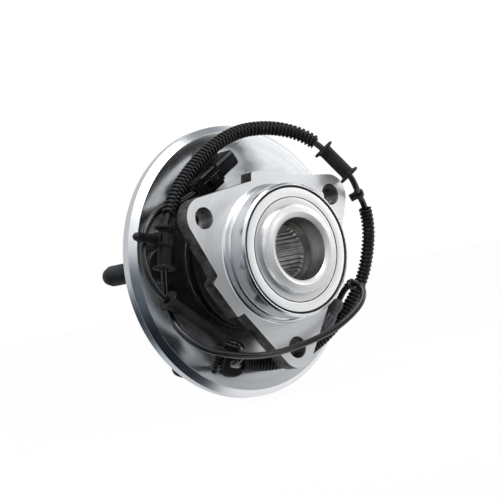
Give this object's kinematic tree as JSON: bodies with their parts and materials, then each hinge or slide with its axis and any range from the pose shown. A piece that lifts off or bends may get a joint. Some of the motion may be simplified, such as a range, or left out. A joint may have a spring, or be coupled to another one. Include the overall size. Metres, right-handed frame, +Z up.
{
  "type": "wheel_hub_bearing",
  "caption": "Flanged wheel hub and bearing unit with lobed knuckle flange, splined bore, pressed wheel studs and a wheel speed sensor on a looped lead with conduit, spools and connector",
  "frame": {"origin": "centre of the knuckle bolt circle, on the face of the housing flange that seats on the knuckle", "axes": "+Y along the spindle towards the wheel, -Y towards the knuckle and drive shaft, +Z up, +X to the right when the knuckle side is seen with the wheel behind it"},
  "size_m": [0.1974, 0.1232, 0.1844],
  "materials": {
    "turned_steel": "fine turned, oiled",
    "black_steel": "black phosphate",
    "forged_steel": "forged scale with turned faces",
    "ground_steel": "ground and lapped",
    "plated_steel": "pressed, bright zinc",
    "cage_plastic": "natural glass-filled nylon",
    "seal_rubber": "moulded nitrile",
    "moulded_rubber": "satin moulded rubber",
    "cable_jacket": "smooth satin jacket",
    "conduit_plastic": "corrugated nylon",
    "black_plastic": "fine-textured nylon",
    "tinned_brass": "tinned"
  },
  "bodies": {
    "housing": {"bearing_housing": "forged_steel", "inboard_seal_case": "plated_steel", "inboard_seal_lip": "seal_rubber", "outboard_seal_case": "plated_steel", "outboard_seal_lip": "seal_rubber", "speed_sensor": "black_plastic", "sensor_oring": "seal_rubber", "sensor_screw": "plated_steel", "sensor_boot": "moulded_rubber", "sensor_cable": "cable_jacket", "upper_conduit": "conduit_plastic", "side_conduit": "conduit_plastic", "left_spool": "moulded_rubber", "right_spool": "moulded_rubber", "long_sleeve": "moulded_rubber", "left_push_clip": "black_plastic", "lower_push_clip": "black_plastic", "cable_ties": "black_plastic", "connector_housing": "black_plastic", "connector_seal": "seal_rubber", "connector_terminals": "tinned_brass"},
    "hub": {"hub_flange": "turned_steel", "wheel_studs": "black_steel", "inner_ring": "ground_steel", "inboard_slinger": "plated_steel", "tone_ring": "plated_steel"},
    "inboard_row": {"inboard_balls": "ground_steel", "inboard_cage": "cage_plastic"},
    "outboard_row": {"outboard_balls": "ground_steel", "outboard_cage": "cage_plastic"},
    "lock": {"connector_lock": "black_plastic"}
  },
  "joints": [
    {"name": "hub_spin", "type": "hinge", "parent": "housing", "child": "hub", "pos_m": [0, 0, 0], "axis": [0, 1, 0], "continuous": true},
    {"name": "inboard_cage_spin", "type": "hinge", "parent": "housing", "child": "inboard_row", "pos_m": [0, 0, 0], "axis": [0, 1, 0], "continuous": true},
    {"name": "outboard_cage_spin", "type": "hinge", "parent": "housing", "child": "outboard_row", "pos_m": [0, 0, 0], "axis": [0, 1, 0], "continuous": true},
    {"name": "connector_lock", "type": "slide", "parent": "housing", "child": "lock", "axis": [0.8912, 0, 0.4536], "range_m": [0, 0.003]}
  ],
  "couplings": [
    {"joint": "inboard_cage_spin", "follows": "hub_spin", "ratio": 0.4367},
    {"joint": "outboard_cage_spin", "follows": "hub_spin", "ratio": 0.4367}
  ]
}
